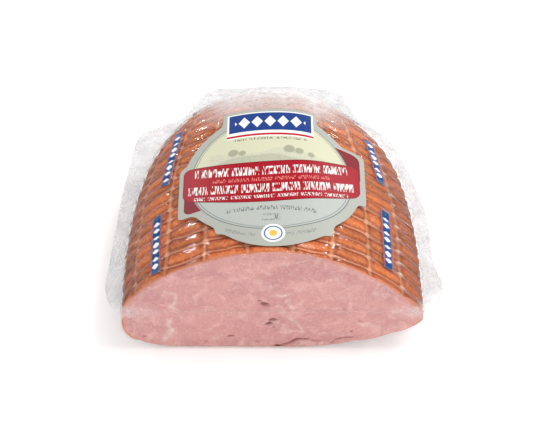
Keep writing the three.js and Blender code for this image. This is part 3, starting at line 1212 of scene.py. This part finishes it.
def strokes(finish, x, up, middle, height, half_length, letter, seed):
    """A row of uneven strokes in groups, standing for a line of print."""
    texture = finish.node("ShaderNodeTexNoise", noise_dimensions="2D")
    texture.inputs["Scale"].default_value = 1.0
    texture.inputs["Detail"].default_value = 0.0
    spot = finish.node("ShaderNodeCombineXYZ")
    finish.link((x + seed * 17.0) * (1.0 / letter), spot.inputs[0])
    finish.link(up * (1.25 / height) + seed * 3.1, spot.inputs[1])
    finish.link(spot.outputs[0], texture.inputs["Vector"])
    bars = (Number(finish.tree, texture.outputs["Fac"]) - 0.53).mask(0.08)
    gaps = (((x + seed * 5.1) / (letter * GROUP_LETTERS)).sine().size() - 0.16).mask(0.08)
    line = (height / 2 - (up - middle).size()).mask(0.2) * (half_length - x.size()).mask(0.4)
    return bars * gaps * line


print("a group of strokes is about", round(math.pi * GROUP_LETTERS), "strokes' widths long")

# %% Fields and rings
SILVER = (176, 178, 169)
CREAM = (212, 211, 182)
LOWER_FIELD = (184, 188, 181)
PIN_STRIPE = (176, 183, 182)
RING = (120, 128, 124)
FIELD_RADIUS = 40.0
PIN_PITCH = 1.55

paper = Finish("printed_label")
px, py, _ = paper.axes()
x, y = px - LABEL_X, py - LABEL_Y
radius = (x * x + y * y).power(0.5)
field = (FIELD_RADIUS - radius).mask(0.15)
from_banner = y - (x * 0.0556 + x * x * 0.0055 - 8.2)
upper_field = field * from_banner.mask(0.2)
lower_field = field * (from_banner * -1).mask(0.2)
outer_ring = (0.28 - (radius - 39.9).size()).mask(0.15)
inner_ring = (0.16 - (radius - 38.7).size()).mask(0.12)
pins = ((y * (2 * math.pi / PIN_PITCH)).sine() - 0.72).mask(0.25)
print_colour = paper.colour(SILVER)
print_colour = paper.paint(print_colour, CREAM, upper_field)
print_colour = paper.paint(print_colour, LOWER_FIELD, lower_field)
print_colour = paper.paint(print_colour, PIN_STRIPE, lower_field * pins * 0.7)
print_colour = paper.paint(print_colour, RING, outer_ring.over(inner_ring))
print("fields:", len(paper.tree.nodes), "nodes")

# %% Soft hills with a few round trees, above the banner
# each tree: across, along and radius, from the label's middle
TREES = [(-19, 14, 2.6), (-14.5, 13, 1.9), (9, 15, 2.8), (14, 14, 2.2), (20, 12.5, 1.7)]
FAR_HILL = (205, 205, 182)
NEAR_HILL = (186, 187, 164)
TREE = (168, 168, 146)
HATCHING = (146, 148, 128)

far_hill = 13.5 + ((x * 0.16 + 0.6).sine() * 1.9 + (x * 0.41).sine() * 0.5)
near_hill = 9.5 + ((x * 0.11 + 2.2).sine() * 1.6 + (x * 0.3 + 1.0).sine() * 0.5)
scenery = upper_field * (31.0 - x.size()).mask(3.0)
below_far_hill = scenery * (far_hill - y).mask(0.5)
print_colour = paper.paint(print_colour, FAR_HILL, below_far_hill)
for tree_x, tree_y, tree_radius in TREES:
    in_tree = (tree_radius - distance(x, y, tree_x, tree_y)).mask(0.7)
    print_colour = paper.paint(print_colour, TREE, scenery * in_tree)
print_colour = paper.paint(print_colour, NEAR_HILL, scenery * (near_hill - y).mask(0.5))
specks = ((paper.noise(0.9, detail=2) - 0.55) * 5).clamp()
print_colour = paper.paint(print_colour, HATCHING, below_far_hill * specks * 0.5)
print("hills and", len(TREES), "trees:", len(paper.tree.nodes), "nodes")

# %% The banner and its folded ends
RED = (164, 8, 31)
DARK_RED = (120, 8, 24)
FOLD_RED = (128, 8, 26)
FAINT_RED = (226, 130, 120)
WHITE = (246, 246, 242)
BANNER_ROUND = 4.0
BANNER_HALF = 44.1

behind_ring = (radius - 40.4).mask(0.2)
left_end = rounded_depth(x + 33.2, y + 12.4, 9.8, 9.2, BANNER_ROUND).mask(0.2) * behind_ring
right_end = rounded_depth(x - 36.0, y - 14.0, 8.8, 10.6, BANNER_ROUND).mask(0.2) * behind_ring
banner_half_width = 14.0 - x * x * 0.0014
banner_depth = rounded_depth(x - 0.3, from_banner, BANNER_HALF, banner_half_width, BANNER_ROUND)
banner = banner_depth.mask(0.2)
banner_edge = (0.24 - (banner_depth - 0.2).size()).mask(0.15)
print_colour = paper.paint(print_colour, FOLD_RED, left_end.over(right_end))
print_colour = paper.paint(print_colour, RED, banner)
print_colour = paper.paint(print_colour, DARK_RED, banner_edge)
line_one = strokes(paper, x, from_banner, 7.4, 5.8, 38.0, 0.66, 1)
line_two = strokes(paper, x, from_banner, 1.4, 2.4, 29.0, 0.5, 2)
line_three = strokes(paper, x, from_banner, -4.6, 5.6, 41.0, 0.66, 3)
line_four = strokes(paper, x, from_banner, -10.3, 2.2, 38.0, 0.5, 4)
print_colour = paper.paint(print_colour, WHITE, line_one.over(line_three) * banner * 0.95)
print_colour = paper.paint(print_colour, WHITE, line_four * banner * 0.85)
print_colour = paper.paint(print_colour, FAINT_RED, line_two * banner * 0.9)
print("banner:", len(paper.tree.nodes), "nodes")

# %% The blue plaque on the tab
PLAQUE_BLUE = (22, 60, 132)
PLAQUE_RED = (190, 24, 46)
LOZENGE_PITCH = 6.6

print_colour = paper.paint(print_colour, WHITE, block(x, y, -22.4, 21.4, 24.9, 45.6))
print_colour = paper.paint(print_colour, PLAQUE_BLUE, block(x, y, -21.4, 20.4, 29.6, 44.7))
print_colour = paper.paint(print_colour, PLAQUE_RED, block(x, y, -22.4, 21.4, 25.7, 27.3))
pitches = (x + 0.5) / LOZENGE_PITCH + 0.5
to_lozenge = (pitches - pitches.floor() - 0.5).size() * LOZENGE_PITCH
lozenge = (2.9 - to_lozenge - (y - 37.1).size() * 0.62).mask(0.25)
lozenge = lozenge * block(x, y, -18.4, 17.4, 30, 45)
print_colour = paper.paint(print_colour, WHITE, lozenge)
print("plaque:", len(paper.tree.nodes), "nodes")

# %% Small print, and the ringed dot on the foot
INK = (96, 104, 102)
RIM_INK = (126, 132, 130)
DOT_RING = (70, 100, 165)
DOT_YELLOW = (232, 190, 80)

small = strokes(paper, x, y, 23.2, 1.7, 18.5, 0.6, 5)
small = small.over(strokes(paper, x, y, -26.3, 2.6, 22.0, 0.5, 6) * field)
small = small.over(strokes(paper, x, y, -32.4, 4.4, 4.2, 0.6, 7) * field)
print_colour = paper.paint(print_colour, INK, small * 0.8)
beside_dot = (x.size() - 7.5).mask(0.3) * (y * -1).mask(0.2)
on_rim = strokes(paper, x, radius * -1, -44.0, 1.9, 22.0, 0.5, 9) * beside_dot
print_colour = paper.paint(print_colour, RIM_INK, on_rim * 0.8)
from_dot = distance(x, y, 1.0, -42.8)
print_colour = paper.paint(print_colour, WHITE, (5.7 - from_dot).mask(0.15))
print_colour = paper.paint(print_colour, DOT_RING, (0.35 - (from_dot - 4.2).size()).mask(0.15))
print_colour = paper.paint(print_colour, DOT_YELLOW, (1.9 - from_dot).mask(0.15))
print("small print:", len(paper.tree.nodes), "nodes")

# %% Paper under the print
shader = paper.principled(Roughness=0.45)
shader.inputs["Specular IOR Level"].default_value = 0.2
paper.link(print_colour, shader.inputs["Base Color"])
paper.link(paper.bump(paper.noise(2.2, detail=2), 0.15, 0.12), shader.inputs["Normal"])
paper.link(shader.outputs[0], paper.output.inputs[0])
label.data.materials.clear()
label.data.materials.append(paper.material)
print("label:", len(paper.tree.nodes), "nodes")

# %% [markdown]
# ## Fixing the pieces to the model
# Nothing on the pack moves, so every piece rides on the one body. Each stands for its own packed
# solid, which is hidden.

# %% Ride and replace
for piece, node, slot in (
    (ham, "ham_half", "cured_meat"),
    (upper_film, "upper_film", "clear_film_upper"),
    (lower_film, "lower_film", "clear_film_lower"),
    (label, "top_label", "printed_label"),
):
    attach(piece, "root")
    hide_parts(node)
    print(piece.name, "stands for", node)

# %% [markdown]
# ## Floor, light and camera
# The pack lies on a plain white table in even light from all sides. A large soft lamp above it on
# the right and a broad one in front shape the ham, and two small ones behind it draw short glints
# on the film. The table glows a little, so that it stays white while the lamps are kept low enough
# for the meat's own colour. The camera looks down at the cut face from about as far away as a
# person's eyes are.

# %% Floor
TABLE_SIZE = 8
TABLE_GLOW = 0.25

deselect()
bpy.ops.mesh.primitive_plane_add(size=TABLE_SIZE)
floor = bpy.context.object
floor.name = "floor"
floor_finish = Finish("white_table")
floor_grain = floor_finish.noise(60, detail=2)
floor_colour = floor_finish.colour((252, 252, 252))
floor_colour = floor_finish.paint(floor_colour, (249, 249, 249), floor_grain)
shader = floor_finish.principled(Roughness=0.9, Emission_Strength=TABLE_GLOW)
shader.inputs["Emission Color"].default_value = (1.0, 1.0, 1.0, 1.0)
shader.inputs["Specular IOR Level"].default_value = 0.1
floor_finish.link(floor_colour, shader.inputs["Base Color"])
floor_finish.link(shader.outputs[0], floor_finish.output.inputs[0])
floor.data.materials.append(floor_finish.material)
print("table:", TABLE_SIZE, "m wide")

# %% Light
# each lamp: name, place in m, side in m, power in W
LAMPS = [
    ("key", (0.55, 0.15, 1.3), 0.8, 11.0), ("front", (0.1, -1.4, 0.9), 0.9, 8.0),
    ("rear_left", (-0.75, 0.8, 0.5), 0.12, 2.2), ("rear_right", (0.75, 0.8, 0.5), 0.12, 2.2),
]
LAMPS_AIM = Vector((0, 0, 0.03))
ROOM_LIGHT = 0.5

world = bpy.context.scene.world or bpy.data.worlds.new("world")
bpy.context.scene.world = world
world.use_nodes = True
world.node_tree.nodes["Background"].inputs["Color"].default_value = (1.0, 1.0, 1.0, 1.0)
world.node_tree.nodes["Background"].inputs["Strength"].default_value = ROOM_LIGHT
for name, place, size, power in LAMPS:
    light = bpy.data.lights.new(name, "AREA")
    light.shape = "SQUARE"
    light.size = size
    light.energy = power
    source = bpy.data.objects.new(name, light)
    bpy.context.scene.collection.objects.link(source)
    source.location = place
    source.rotation_euler = (LAMPS_AIM - Vector(place)).to_track_quat("-Z", "Y").to_euler()
bpy.context.scene.view_settings.view_transform = "Standard"
print(len(LAMPS), "lamps of", sum(lamp[3] for lamp in LAMPS), "W together")

# %% Camera
CAMERA_DISTANCE = 0.941
CAMERA_ELEVATION = math.radians(47.85)
AIM_HEIGHT = 36.3
LENS = 119.7
SHIFT_X, SHIFT_Y = 0.0033, -0.0393

aim = Vector((AXIS_X, MIDDLE_Y, AIM_HEIGHT)) * MM
back_off = Vector((0, -math.cos(CAMERA_ELEVATION), math.sin(CAMERA_ELEVATION))) * CAMERA_DISTANCE
camera_data = bpy.data.cameras.new("camera")
camera_data.lens = LENS
camera_data.sensor_width = 36
camera_data.shift_x = SHIFT_X
camera_data.shift_y = SHIFT_Y
camera = bpy.data.objects.new("camera", camera_data)
bpy.context.scene.collection.objects.link(camera)
camera.location = aim + back_off
camera.rotation_euler = (-back_off).to_track_quat("-Z", "Y").to_euler()
bpy.context.scene.camera = camera
print("camera", CAMERA_DISTANCE, "m away,", round(math.degrees(CAMERA_ELEVATION)), "degrees up")

# %% [markdown] ## The finished pack
